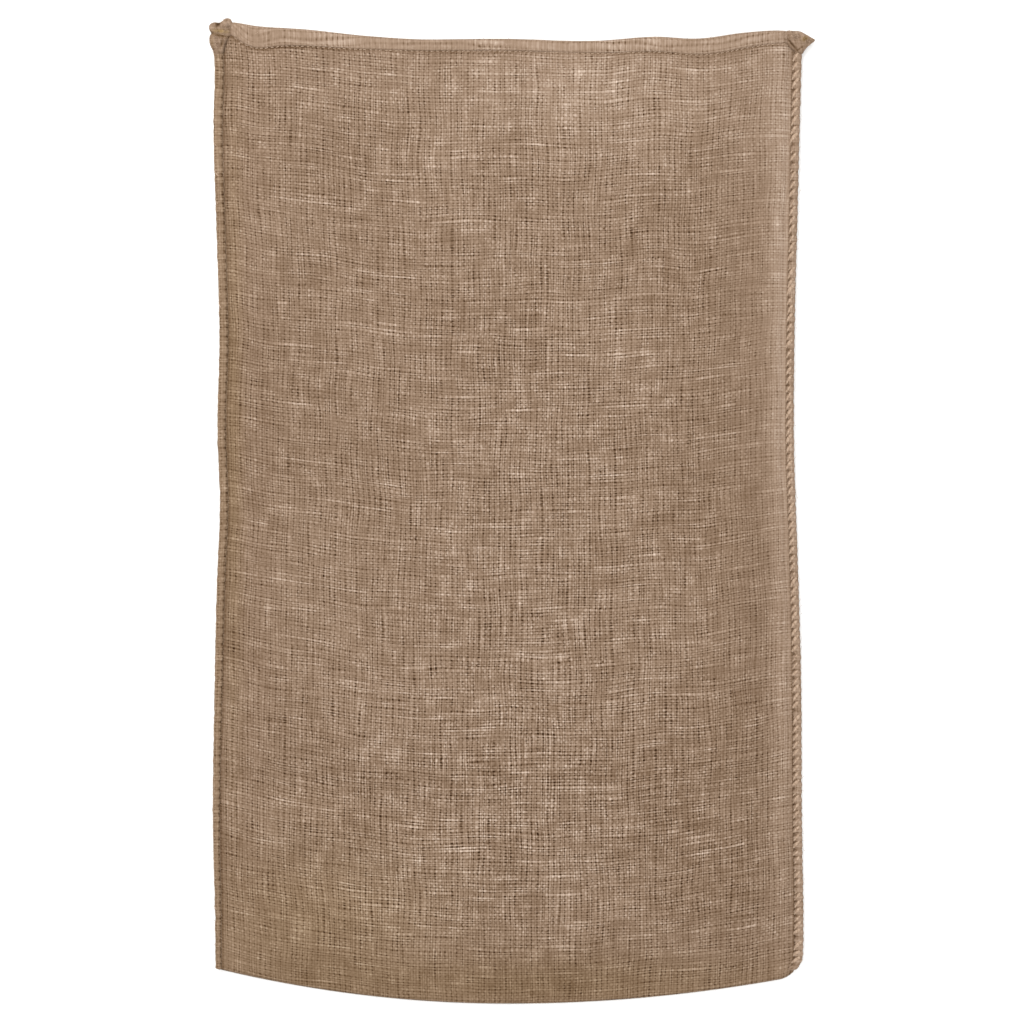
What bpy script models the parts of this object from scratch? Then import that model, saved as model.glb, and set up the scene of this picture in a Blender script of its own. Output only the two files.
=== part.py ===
"""An empty jute sack that lies on its back: one length of hessian, folded in two at the bottom,
sewn together up both sides in a thick overcast edge, and hemmed round the mouth.

X runs across the sack, Y from the bottom fold to the mouth, and Z up from the surface that the
sack lies on. The origin is under the middle of the sack's box."""

import math

import bmesh
import bpy

# Cloth, in metres.
CLOTH_THICKNESS = 0.0018
HEM_THICKNESS = 0.0030  # the cloth turned in twice
SEAM_LAYER_THICKNESS = 0.0023  # each half of the sewn edge, with its cut edge rolled in
HEM_DEPTH = 0.0170

# How the empty sack lies.
EDGE_RISE = 0.0025  # half the thickness of the flattened edge, all round
EDGE_ROUND = 0.0030  # how far in from an edge its rounding reaches
SEAM_WIDTH = 0.0115
SEAM_SWELL = 0.0014  # how much thicker the sewn edge is than two flat layers
LOFT = 0.0110  # how high the front stands off the back in the middle
SIDE_RISE = 0.070  # how far in from a seam the front has risen to its full height
FOLD_RISE = 0.085  # the same, from the bottom fold
RISE_START = 0.8  # the share of the sewn edge's width at which the front starts to rise
RISE_FULLNESS = 0.6  # under 1 for a front that rises steeply at first, then levels off
SEAM_FULLNESS = 0.5  # the same for the sewn edge's round top
HEM_BULGE = 0.0012
HEM_FULLNESS = 0.7
STITCH_GROOVE = 0.0009
STITCH_GROOVE_REACH = 0.002  # how far to each side of the stitches the groove goes
THICK_EDGE_WIDTH = 0.01725  # how far in the sewn edge's layers stay thick

# The outline. OUT is measured from the middle line of the cloth, UP from the lowest point of the fold.
FOLD_MIDDLE_UP = 0.0003
FOLD_LEFT_RISE = 0.0360
FOLD_RIGHT_RISE = 0.0290
HALF_WIDTH = 0.2970
RIGHT_CORNER_RADIUS = 0.0225

LEFT_EDGE = (  # (UP, OUT)
    (0.000, 0.2975),
    (0.094, 0.2980),
    (0.170, 0.3000),
    (0.320, 0.2985),
    (0.430, 0.2960),
    (0.508, 0.2930),
    (0.580, 0.2955),
    (0.680, 0.2935),
    (0.780, 0.2963),
    (0.900, 0.2995),
    (0.955, 0.3000),
    (0.982, 0.3040),
    (1.002, 0.3020),
)
RIGHT_EDGE = (  # (UP, OUT)
    (0.000, 0.2990),
    (0.070, 0.3005),
    (0.190, 0.2990),
    (0.340, 0.2980),
    (0.460, 0.2945),
    (0.570, 0.2910),
    (0.680, 0.2915),
    (0.800, 0.2945),
    (0.900, 0.2970),
    (0.950, 0.2985),
    (0.978, 0.3110),
    (0.989, 0.3030),
)
MOUTH = (  # (ACROSS, UP), with ACROSS -1 at the left seam's edge and 1 at the right one's
    (-1.00, 1.0015),
    (-0.93, 1.0000),
    (-0.86, 0.9940),
    (-0.67, 0.9895),
    (-0.49, 0.9845),
    (-0.36, 0.9800),
    (0.00, 0.9800),
    (0.31, 0.9785),
    (0.50, 0.9830),
    (0.64, 0.9815),
    (0.81, 0.9875),
    (0.94, 0.9895),
    (1.00, 0.9800),
)
BACK_HEM_SHOWS = 0.0020  # how far the back's hem stands past the front's, away from the seams

# Soft troughs (negative depth) and ridges in the front: middle, direction and size in metres.
FOLDS = (  # (OUT, UP, angle from the X axis in degrees, half length, half width, height)
    (0.236, 0.760, 90, 0.190, 0.022, -0.0035),
    (0.196, 0.515, 70, 0.060, 0.045, -0.0030),
    (-0.165, 0.215, -11, 0.120, 0.020, -0.0025),
    (-0.160, 0.175, -11, 0.120, 0.022, 0.0020),
    (-0.190, 0.770, 84, 0.150, 0.030, -0.0020),
    (-0.060, 0.600, 88, 0.260, 0.040, 0.0018),
    (0.080, 0.420, 80, 0.200, 0.045, -0.0018),
    (0.060, 0.120, 5, 0.160, 0.030, -0.0018),
)

# Where the cloth is divided, in metres from an edge. Between them it is divided evenly.
FROM_SEAM = (0.0, 0.0012, EDGE_ROUND, 0.0080, SEAM_WIDTH, 0.0200, 0.0350, 0.0550)
FROM_FOLD = (0.0, 0.0012, EDGE_ROUND, 0.0100, 0.0240, 0.0420)
BELOW_MOUTH = (0.0, 0.0020, 0.0090, 0.0155, HEM_DEPTH, 0.0195, 0.0260, 0.0420)
COLUMNS_BETWEEN = 15
ROWS_BETWEEN = 27

HESSIAN_COLOUR = (0.337, 0.226, 0.156, 1.0)


def smooth_step(amount):
    """0 up to 0, 1 from 1 on, and an S-shaped rise between them."""
    amount = min(1.0, max(0.0, amount))
    return amount * amount * (3 - 2 * amount)


def along(rows, at):
    """The second column of rows where the first is at, on a smooth curve through all of them."""
    at = min(rows[-1][0], max(rows[0][0], at))
    index = max(i for i in range(len(rows) - 1) if rows[i][0] <= at)
    (start, low), (end, high) = rows[index : index + 2]
    before = rows[max(index - 1, 0)]
    after = rows[min(index + 2, len(rows) - 1)]
    slope_in = (high - before[1]) / (end - before[0])
    slope_out = (after[1] - low) / (after[0] - start)
    span = end - start
    t = (at - start) / span
    return (
        low * (1 + 2 * t) * (1 - t) ** 2
        + slope_in * span * t * (1 - t) ** 2
        + high * t * t * (3 - 2 * t)
        + slope_out * span * t * t * (t - 1)
    )


def fold_up(across):
    """How high the bottom fold's edge is at a place across the sack."""
    rise = FOLD_LEFT_RISE if across < 0 else FOLD_RIGHT_RISE
    return FOLD_MIDDLE_UP + rise * across**2


def spread(near, total, between):
    """Distances from one edge to the other: near at both ends, and evenly divided between."""
    gap = (total - 2 * near[-1]) / between
    middle = [near[-1] + gap * i for i in range(1, between)]
    return [*near, *middle, *(total - d for d in reversed(near))]


def shares_up():
    """The cloth's rows as shares of the way from the fold to the mouth, for the middle of the sack."""
    length = along(MOUTH, 0.0) - FOLD_MIDDLE_UP
    top = [length - d for d in reversed(BELOW_MOUTH)]
    gap = (top[0] - FROM_FOLD[-1]) / ROWS_BETWEEN
    middle = [FROM_FOLD[-1] + gap * i for i in range(1, ROWS_BETWEEN)]
    return [d / length for d in (*FROM_FOLD, *middle, *top)]


def plan_place(across, share_up, shows):
    """Where a point of the cloth lies, seen from above. across runs from -1 to 1."""
    low = fold_up(across)
    up = low + (along(MOUTH, across) + shows - low) * share_up
    if across < 0:
        return across * along(LEFT_EDGE, up), up
    edge = along(RIGHT_EDGE, up)
    return round_corner(across * edge, up, edge, fold_up(1.0))


def round_corner(out, up, edge, bottom):
    """Moves a point in the square bottom right corner into a round one."""
    right = (out - (edge - RIGHT_CORNER_RADIUS)) / RIGHT_CORNER_RADIUS
    down = (bottom + RIGHT_CORNER_RADIUS - up) / RIGHT_CORNER_RADIUS
    if right <= 0 or down <= 0:
        return out, up
    down = min(down, 1.0)
    moved_right = right * math.sqrt(1 - down * down / 2)
    moved_down = down * math.sqrt(1 - right * right / 2)
    return (
        out + (moved_right - right) * RIGHT_CORNER_RADIUS,
        up - (moved_down - down) * RIGHT_CORNER_RADIUS,
    )


def edge_share(distance):
    """0 at the flattened edge and 1 past its rounding."""
    inward = min(1.0, max(0.0, distance / EDGE_ROUND))
    return math.sqrt(1 - (1 - inward) ** 2)


def seam_swell(from_seam):
    """The sewn edge is thickest half way in, and is drawn thin where the needle went."""
    return SEAM_SWELL * math.sin(math.pi * min(1.0, from_seam / SEAM_WIDTH)) ** SEAM_FULLNESS


def folds_height(out, up):
    """The troughs and ridges of the front at one place."""
    height = 0.0
    for middle_out, middle_up, degrees, half_length, half_width, rise in FOLDS:
        turn = math.radians(degrees)
        right, forward = out - middle_out, up - middle_up
        lengthways = (right * math.cos(turn) + forward * math.sin(turn)) / half_length
        sideways = (forward * math.cos(turn) - right * math.sin(turn)) / half_width
        height += rise * math.exp(-(lengthways**2) - sideways**2)
    return height


def hem_height(below_mouth):
    """The hem's soft roll, and the groove that its stitches pull under it."""
    roll = HEM_BULGE * math.sin(math.pi * min(1.0, below_mouth / HEM_DEPTH)) ** HEM_FULLNESS
    from_stitches = abs(below_mouth - HEM_DEPTH)
    groove = STITCH_GROOVE * max(0.0, 1 - from_stitches / STITCH_GROOVE_REACH)
    return roll - groove


def loft(out, up, from_seam, from_fold):
    """How far the front stands off the back past the flattened edges."""
    side = smooth_step((from_seam - SEAM_WIDTH * RISE_START) / SIDE_RISE) ** RISE_FULLNESS
    fold = smooth_step((from_fold - EDGE_ROUND) / FOLD_RISE) ** RISE_FULLNESS
    return (LOFT + folds_height(out, up)) * side * fold


def place(across, from_seam, share_up, is_back):
    """The outside of the cloth at one place, from the middle line and the lowest point of the fold."""
    past_seam = smooth_step((from_seam - SEAM_WIDTH) / SEAM_WIDTH)
    out, up = plan_place(across, share_up, BACK_HEM_SHOWS * past_seam if is_back else 0.0)
    length = along(MOUTH, across) - fold_up(across)
    from_fold = share_up * length
    rounding = edge_share(min(from_seam, from_fold))
    low = EDGE_RISE * (1 - rounding)
    if is_back:
        return out, up, low
    rise = 2 * EDGE_RISE * rounding + seam_swell(from_seam) * edge_share(from_fold)
    rise += loft(out, up, from_seam, from_fold)
    rise += hem_height((1 - share_up) * length) * past_seam
    return out, up, low + rise


def layer_thickness(from_seam, below_mouth):
    """The hem is thick, the sewn edges less so, and the rest is one layer of hessian."""
    if from_seam < THICK_EDGE_WIDTH:
        return SEAM_LAYER_THICKNESS
    return HEM_THICKNESS if below_mouth < HEM_DEPTH else CLOTH_THICKNESS


def middle_of_box(places):
    """The middle of the outline's box in X and Y, which goes over the origin."""
    return [(min(p[k] for p in places) + max(p[k] for p in places)) / 2 for k in (0, 1)]


def hessian():
    """Dull, undyed jute."""
    material = bpy.data.materials.new("hessian")
    material.use_nodes = True
    shader = material.node_tree.nodes["Principled BSDF"]
    shader.inputs["Base Color"].default_value = HESSIAN_COLOUR
    shader.inputs["Roughness"].default_value = 0.95
    shader.inputs["Metallic"].default_value = 0.0
    return material


def sack_cloth():
    """The whole cloth: a flat grid, wrapped round into front and back, closed at the sides and the fold."""
    distances = spread(FROM_SEAM, 2 * HALF_WIDTH, COLUMNS_BETWEEN)
    shares = shares_up()
    columns = len(distances) - 1
    rows = len(shares) - 1

    mesh = bpy.data.meshes.new("sack_cloth")
    sack = bpy.data.objects.new("sack_cloth", mesh)
    thickness = sack.vertex_groups.new(name="thickness")
    shell = bmesh.new()
    weight = shell.verts.layers.deform.verify()
    bmesh.ops.create_grid(shell, x_segments=2 * columns, y_segments=rows, size=0.5)
    for vert in shell.verts:
        column = round((vert.co.x + 0.5) * 2 * columns)
        row = round((vert.co.y + 0.5) * rows)
        is_back = column > columns
        from_left = distances[2 * columns - column if is_back else column]
        from_seam = min(from_left, 2 * HALF_WIDTH - from_left)
        below_mouth = (1 - shares[row]) * (along(MOUTH, 0.0) - FOLD_MIDDLE_UP)
        across = from_left / HALF_WIDTH - 1
        vert.co = place(across, from_seam, shares[row], is_back)
        vert[weight][thickness.index] = layer_thickness(from_seam, below_mouth) / HEM_THICKNESS
    bmesh.ops.remove_doubles(shell, verts=shell.verts, dist=0.0001)
    centre = middle_of_box([vert.co for vert in shell.verts])
    bmesh.ops.translate(shell, verts=shell.verts, vec=(-centre[0], -centre[1], 0.0))
    bmesh.ops.recalc_face_normals(shell, faces=shell.faces)
    shell.to_mesh(mesh)
    shell.free()

    mesh.materials.append(hessian())
    mesh.shade_smooth()
    wall = sack.modifiers.new("wall", "SOLIDIFY")
    wall.thickness = HEM_THICKNESS
    wall.offset = -1.0
    wall.vertex_group = thickness.name
    wall.use_rim = True
    return sack


def main():
    for old in list(bpy.data.objects):
        bpy.data.objects.remove(old)
    parts = bpy.data.collections.new("jute_sack")
    bpy.context.scene.collection.children.link(parts)
    parts.objects.link(sack_cloth())


main()
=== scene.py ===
import random
from math import cos, pi, radians, sin

import bpy
import numpy as np
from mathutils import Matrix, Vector, noise


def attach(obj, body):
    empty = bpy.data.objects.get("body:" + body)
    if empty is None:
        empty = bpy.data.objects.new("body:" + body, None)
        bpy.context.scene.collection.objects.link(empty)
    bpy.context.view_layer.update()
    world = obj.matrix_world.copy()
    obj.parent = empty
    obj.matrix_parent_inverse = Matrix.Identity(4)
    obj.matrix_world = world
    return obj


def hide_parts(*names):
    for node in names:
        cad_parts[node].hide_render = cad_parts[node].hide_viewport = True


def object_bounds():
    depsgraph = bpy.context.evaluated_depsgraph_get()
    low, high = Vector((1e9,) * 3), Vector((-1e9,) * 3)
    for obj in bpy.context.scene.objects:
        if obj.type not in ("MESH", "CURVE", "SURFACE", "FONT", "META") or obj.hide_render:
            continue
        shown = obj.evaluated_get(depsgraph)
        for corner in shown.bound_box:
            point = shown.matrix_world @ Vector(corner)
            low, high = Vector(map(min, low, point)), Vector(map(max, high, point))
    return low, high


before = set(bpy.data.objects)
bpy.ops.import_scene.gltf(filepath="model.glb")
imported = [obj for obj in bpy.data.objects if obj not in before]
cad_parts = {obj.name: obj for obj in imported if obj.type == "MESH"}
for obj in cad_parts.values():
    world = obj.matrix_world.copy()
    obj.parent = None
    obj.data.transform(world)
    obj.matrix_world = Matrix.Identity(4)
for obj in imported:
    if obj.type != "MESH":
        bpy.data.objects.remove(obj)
cad_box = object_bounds()

# ---------------------------------------------------------------------------------------------
# Camera. The sack is shown face on, as a thing laid on a table and seen from straight above. A
# long lens from three metres up keeps its sides as straight as they are.
CAMERA_HEIGHT = 3.0
EDGE_HEIGHT = 0.003  # the height at which the picture is as wide as it should be
PICTURE_WIDTH = 1.0414
SENSOR_MM = 36.0
CAMERA_OVER = (0.0006, -0.0005)

eye = bpy.data.cameras.new("camera")
eye.sensor_width = SENSOR_MM
eye.lens = SENSOR_MM * (CAMERA_HEIGHT - EDGE_HEIGHT) / PICTURE_WIDTH
eye.clip_end = 50.0
camera = bpy.data.objects.new("camera", eye)
camera.location = (*CAMERA_OVER, CAMERA_HEIGHT)
bpy.context.scene.collection.objects.link(camera)
bpy.context.scene.camera = camera

# ---------------------------------------------------------------------------------------------
# Floor and light. White studio paper, lit from all round by a white room, with one large soft
# box high at the top left, which lets the threads and the seams show their height.
PAPER_COLOUR = "#f4f4f3"
PAPER_SIZE = 12.0
PAPER_DROP = 0.0004  # the paper gives a little under the sack
ROOM_STRENGTH = 1.20
SOFT_BOXES = (  # (x, y, z, side in metres, watts)
    (-1.7, 2.2, 2.6, 1.6, 100.0),
    (2.3, -1.2, 2.9, 2.4, 32.0),
)


def linear(code):
    """An sRGB hex colour as the linear values that Blender mixes."""
    parts = [int(code[i : i + 2], 16) / 255 for i in (1, 3, 5)]
    return [c / 12.92 if c <= 0.04045 else ((c + 0.055) / 1.055) ** 2.4 for c in parts] + [1.0]


def start_material(name):
    """A new material, which the nodes that add makes next go into, and its shader."""
    global tree
    material = bpy.data.materials.new(name)
    material.use_nodes = True
    tree = material.node_tree
    return material, tree.nodes["Principled BSDF"]


def add(kind, *inputs, out=0, **settings):
    """Adds a node. Each input is a value or another node's output, and None leaves it alone."""
    made = tree.nodes.new("ShaderNode" + kind)
    for name, value in settings.items():
        setattr(made, name, value)
    for socket, value in zip(made.inputs, inputs):
        if isinstance(value, bpy.types.NodeSocket):
            tree.links.new(value, socket)
        elif value is not None:
            socket.default_value = value
    return made.outputs[out]


bpy.context.scene.view_settings.view_transform = "Standard"
room = bpy.data.worlds.new("white_room")
room.use_nodes = True
room.node_tree.nodes["Background"].inputs["Strength"].default_value = ROOM_STRENGTH
room.node_tree.nodes["Background"].inputs["Color"].default_value = (1.0, 1.0, 1.0, 1.0)
bpy.context.scene.world = room

for number, (x, y, z, side, watts) in enumerate(SOFT_BOXES):
    lamp = bpy.data.lights.new(f"soft_box_{number}", "AREA")
    lamp.size = side
    lamp.energy = watts
    box = bpy.data.objects.new(lamp.name, lamp)
    box.location = (x, y, z)
    box.rotation_euler = Vector((x, y, z)).to_track_quat("Z", "Y").to_euler()
    bpy.context.scene.collection.objects.link(box)

bpy.ops.object.select_all(action="DESELECT")
bpy.ops.mesh.primitive_plane_add(size=PAPER_SIZE, location=(0.0, 0.0, -PAPER_DROP))
floor = bpy.context.object
floor.name = "floor"
studio_paper, shader = start_material("studio_paper")
shader.inputs["Base Color"].default_value = linear(PAPER_COLOUR)
shader.inputs["Roughness"].default_value = 0.9
floor.data.materials.append(studio_paper)

# ---------------------------------------------------------------------------------------------
# The cloth. One length of hessian, an open plain weave of thick jute yarn, folded in two at the
# bottom. It lies on its back, so the back is flat, and the front stands a little off it in soft
# uneven troughs. OUT is measured from the middle line, UP from the lowest point of the fold.
CLOTH_THICKNESS = 0.0013
HALF_WIDTH = 0.2970
LENGTH = 0.979
FOLD_MIDDLE_UP = 0.0003
FOLD_LEFT_RISE = 0.0360
FOLD_RIGHT_RISE = 0.0290
RIGHT_CORNER_RADIUS = 0.0225
MIDDLE_OUT = 0.0035
MIDDLE_UP = FOLD_MIDDLE_UP - cad_box[0][1]
EDGE_RISE = 0.0020
EDGE_ROUND = 0.0030
SEAM_WIDTH = 0.0115
INSIDE_SEAM = 0.0040  # the cloth's edges end this far in from the outside of the seam
SEAM_MIDDLE = 0.0031
SEAM_LIFT = 0.0006  # the front lifts this much over SEAM_LIFT_RUN from its edge
SEAM_LIFT_RUN = 0.0030
BESIDE_LIFT = 0.0012  # and this much more over BESIDE_LIFT_RUN from the seam
BESIDE_LIFT_RUN = 0.0070
BACK_EDGE_TOP = 0.0030
LOFT = 0.0150
RISE_START = 0.9  # the front starts to rise at this share of the seam's width
RISE_FULLNESS = 0.6  # under 1, the front is fuller near its edges
SIDE_RISE = 0.070
FOLD_RISE = 0.085
TUCKED_IN_HEM = 0.0030
CRUMPLE_DEPTH = 0.0011
CRUMPLE_SIZE = 0.055
FINE_CRUMPLE = (0.5, 0.45)  # the finer waves' depth and size, as shares of the others
GRID_CELLS = (280, 170)  # across both panels, and up
CROWDED_ACROSS = 0.8  # how much closer the grid's lines lie near the seams
CROWDED_UP = 0.7  # and near the fold and the mouth

LEFT_EDGE = (  # (UP, OUT)
    (0.000, 0.2975),
    (0.094, 0.2980),
    (0.170, 0.3000),
    (0.320, 0.2985),
    (0.430, 0.2960),
    (0.508, 0.2930),
    (0.580, 0.2955),
    (0.680, 0.2935),
    (0.780, 0.2963),
    (0.900, 0.2995),
    (0.955, 0.2985),
    (0.982, 0.3005),
    (1.002, 0.3005),
)
RIGHT_EDGE = (  # (UP, OUT)
    (0.000, 0.2990),
    (0.070, 0.3005),
    (0.190, 0.2990),
    (0.340, 0.2980),
    (0.460, 0.2945),
    (0.570, 0.2910),
    (0.680, 0.2915),
    (0.800, 0.2945),
    (0.900, 0.2970),
    (0.950, 0.2985),
    (0.989, 0.2995),
)
MOUTH = (  # (ACROSS, UP), with ACROSS -1 at the left seam's edge and 1 at the right one's
    (-1.00, 0.9985),
    (-0.93, 0.9980),
    (-0.86, 0.9940),
    (-0.67, 0.9890),
    (-0.49, 0.9831),
    (-0.36, 0.9801),
    (0.00, 0.9797),
    (0.31, 0.9779),
    (0.50, 0.9820),
    (0.64, 0.9800),
    (0.81, 0.9868),
    (0.94, 0.9895),
    (1.00, 0.9880),
)
FOLDS = (  # (OUT, UP, degrees from the X axis, half length, half width, height), troughs negative
    (0.236, 0.760, 90, 0.190, 0.022, -0.0035),
    (0.272, 0.780, 90, 0.150, 0.014, 0.0016),
    (0.196, 0.515, 70, 0.060, 0.045, -0.0030),
    (-0.165, 0.215, -11, 0.120, 0.020, -0.0025),
    (-0.160, 0.175, -11, 0.120, 0.022, 0.0020),
    (-0.190, 0.770, 84, 0.150, 0.030, -0.0020),
    (-0.060, 0.600, 88, 0.260, 0.040, 0.0018),
    (0.080, 0.420, 80, 0.200, 0.045, -0.0018),
    (0.060, 0.120, 5, 0.160, 0.030, -0.0018),
    (0.020, 0.800, 92, 0.120, 0.024, -0.0012),
    (0.130, 0.880, 78, 0.070, 0.018, -0.0012),
    (-0.110, 0.900, 100, 0.060, 0.020, 0.0010),
    (0.180, 0.230, 12, 0.090, 0.016, 0.0012),
    (-0.230, 0.480, 65, 0.080, 0.018, 0.0012),
)
# Partly painted light and shade: these patches darken the cloth over some of the folds' troughs and
# lighten it towards the mouth. Elsewhere they are the cloth's own uneven colour.
TONE_AND_SHADE_PATCHES = (  # (OUT, UP, reach out, reach up, tone), darker negative
    (0.243, 0.760, 0.016, 0.170, 0.015),
    (0.275, 0.800, 0.014, 0.140, 0.060),
    (0.283, 0.560, 0.018, 0.420, 0.180),
    (0.012, 0.160, 0.030, 0.060, -0.050),
    (-0.260, 0.235, 0.030, 0.022, -0.040),
    (0.010, 0.900, 0.030, 0.060, -0.045),
    (-0.250, 0.560, 0.020, 0.120, -0.025),
    (0.190, 0.500, 0.040, 0.055, -0.045),
    (-0.200, 0.160, 0.110, 0.120, -0.010),
    (0.200, 0.200, 0.110, 0.140, -0.045),
    (0.000, 0.235, 0.220, 0.014, -0.035),
    (0.100, 0.930, 0.220, 0.070, 0.100),
    (0.000, 0.020, 0.240, 0.028, -0.030),
)
OCHRE = (  # (OUT, UP, reach out, reach up, how yellow)
    (-0.280, 0.580, 0.010, 0.300, 0.35),
    (-0.200, 0.080, 0.120, 0.080, 0.30),
    (0.050, 0.020, 0.250, 0.030, 0.30),
)
ROLL_INSET = 0.0001  # how far in from the outline the rolled edge ends
ROLL_HALF_WIDTHS = {  # side: (UP, half the width of the rolled edge)
    -1: ((0.03, 0.0030), (0.25, 0.0038), (0.60, 0.0044), (0.97, 0.0048)),
    1: ((0.03, 0.0046), (0.30, 0.0042), (0.62, 0.0037), (0.80, 0.0039), (0.97, 0.0044)),
}
# Painted shade: a dark line is painted beside each rolled edge, in the crease where shade falls.
LINE_GAP = {-1: 0.0013, 1: 0.0004}  # from the rolled edge to the dark line beside it
LINE_SHARE = {-1: 0.4, 1: 1.0}  # how dark that line is on each side
SEAM_LINE_SHADE = 0.22
SEAM_LINE_REACH = 0.0010
HEM_DEPTH = (  # (ACROSS, depth in metres)
    (-1.00, 0.0100),
    (-0.94, 0.0130),
    (-0.89, 0.0205),
    (-0.75, 0.0180),
    (-0.62, 0.0160),
    (-0.50, 0.0140),
    (-0.40, 0.0125),
    (0.00, 0.0120),
    (0.30, 0.0125),
    (0.40, 0.0140),
    (0.60, 0.0160),
    (0.74, 0.0170),
    (0.84, 0.0150),
    (0.94, 0.0130),
    (1.00, 0.0110),
)
# Painted shadow: a dark line is painted just under the hem's edge, where its step shades the cloth.
HEM_LINE = (  # (ACROSS, how dark the line under the hem is)
    (-1.00, 0.3),
    (-0.90, 1.0),
    (-0.55, 1.0),
    (-0.48, 0.7),
    (-0.42, 0.6),
    (-0.20, 1.0),
    (0.00, 0.7),
    (0.20, 0.3),
    (0.36, 0.8),
    (0.62, 0.9),
    (0.70, 0.9),
    (1.00, 0.7),
)
HEM_LINE_SHADE = 0.17
HEM_LINE_BELOW = 0.0007
HEM_LINE_REACH = 0.0016
HEM_GROOVE_DEPTH = 0.0004
HEM_GROOVE_REACH = 0.0022
HEM_GROOVE_FADE = 0.010  # it runs out over this much beside each seam
OPEN_WEAVE = 0.78  # how much the gaps show in the open cloth
SEWN_CLOSED = 0.55  # how much less they show where the cloth is sewn
SEWN_REACH = 0.013
OPENNESS = (  # (OUT, UP, reach out, reach up, how much more the gaps show)
    (0.030, 0.440, 0.130, 0.400, 0.22),
    (0.000, 0.200, 0.240, 0.110, 0.20),
    (0.265, 0.620, 0.050, 0.380, -0.30),
    (-0.270, 0.500, 0.050, 0.500, -0.15),
    (0.000, 0.010, 0.300, 0.050, -0.32),
    (-0.240, 0.060, 0.070, 0.060, -0.15),
)


def curve(table, at):
    """A smooth curve through a table's rows, read at many places at once."""
    across, value = np.array(table, float).T
    at = np.clip(at, across[0], across[-1])
    slope = np.gradient(value, across)
    low = np.clip(np.searchsorted(across, at, side="right") - 1, 0, len(across) - 2)
    span = across[low + 1] - across[low]
    t = (at - across[low]) / span
    return (
        value[low] * (1 + 2 * t) * (1 - t) ** 2
        + slope[low] * span * t * (1 - t) ** 2
        + value[low + 1] * t * t * (3 - 2 * t)
        + slope[low + 1] * span * t * t * (t - 1)
    )


def smooth_step(amount):
    amount = np.clip(amount, 0.0, 1.0)
    return amount * amount * (3 - 2 * amount)


def crowded(share, crowding):
    """Spreads 0 to 1 so that the steps are small near both ends and large between."""
    return share - crowding * np.sin(2 * pi * share) / (2 * pi)


def fold_up(across):
    return FOLD_MIDDLE_UP + np.where(across < 0, FOLD_LEFT_RISE, FOLD_RIGHT_RISE) * across**2


def plan(across, share_up):
    """Where a point of the cloth lies, seen from above: its OUT and UP."""
    low = fold_up(across)
    up = low + (curve(MOUTH, across) - low) * share_up
    edge = np.where(across < 0, curve(LEFT_EDGE, up), curve(RIGHT_EDGE, up))
    out = across * edge
    radius = RIGHT_CORNER_RADIUS
    right = np.clip((out - (edge - radius)) / radius, 0.0, 1.0)
    down = np.clip((fold_up(np.ones(1)) + radius - up) / radius, 0.0, 1.0)
    right = np.where(across > 0, right, 0.0)
    inside = (right > 0) & (down > 0)
    shift_out = right * (np.sqrt(1 - down * down / 2) - 1) * radius
    shift_up = down * (np.sqrt(1 - right * right / 2) - 1) * radius
    return out + np.where(inside, shift_out, 0.0), up - np.where(inside, shift_up, 0.0)


def bumps(table, out, up):
    """The sum of a table's soft hills: their middle, turn, half length, half width and height."""
    height = np.zeros_like(out)
    for middle_out, middle_up, degrees, half_length, half_width, rise in table:
        turn = radians(degrees)
        right = out - middle_out
        forward = up - middle_up
        lengthways = (right * cos(turn) + forward * sin(turn)) / half_length
        sideways = (forward * cos(turn) - right * sin(turn)) / half_width
        height = height + rise * np.exp(-(lengthways**2) - sideways**2)
    return height


def spots(table, out, up):
    """The sum of a table's soft spots, none of them turned."""
    return bumps([(x, y, 0, a, b, much) for x, y, a, b, much in table], out, up)


def line_at(distance, reach):
    """How strongly a soft line shows at a distance from its middle."""
    return np.exp(-((distance / reach) ** 2))


def crumple(out, up, size, seed):
    """Small uneven waves from -1 to 1, about size across."""
    return np.array([noise.noise((x / size, y / size, seed)) for x, y in zip(out, up)])


def front_height(out, up, from_seam, from_fold):
    """The top of the front panel above the floor, away from the fold's rounding."""
    lift = SEAM_LIFT * np.clip((from_seam - INSIDE_SEAM) / SEAM_LIFT_RUN, 0.0, 1.0)
    beside = BESIDE_LIFT * smooth_step((from_seam - SEAM_WIDTH) / BESIDE_LIFT_RUN)
    side = smooth_step((from_seam - SEAM_WIDTH * RISE_START) / SIDE_RISE) ** RISE_FULLNESS
    fold = smooth_step((from_fold - EDGE_ROUND) / FOLD_RISE) ** RISE_FULLNESS
    fine_depth, fine_size = FINE_CRUMPLE
    waves = CRUMPLE_DEPTH * crumple(out, up, CRUMPLE_SIZE, 3.0)
    waves += CRUMPLE_DEPTH * fine_depth * crumple(out, up, CRUMPLE_SIZE * fine_size, 8.0)
    raised = (LOFT - 2 * EDGE_RISE + bumps(FOLDS, out, up) + waves) * side * fold
    return SEAM_MIDDLE + lift + beside + raised


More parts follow.
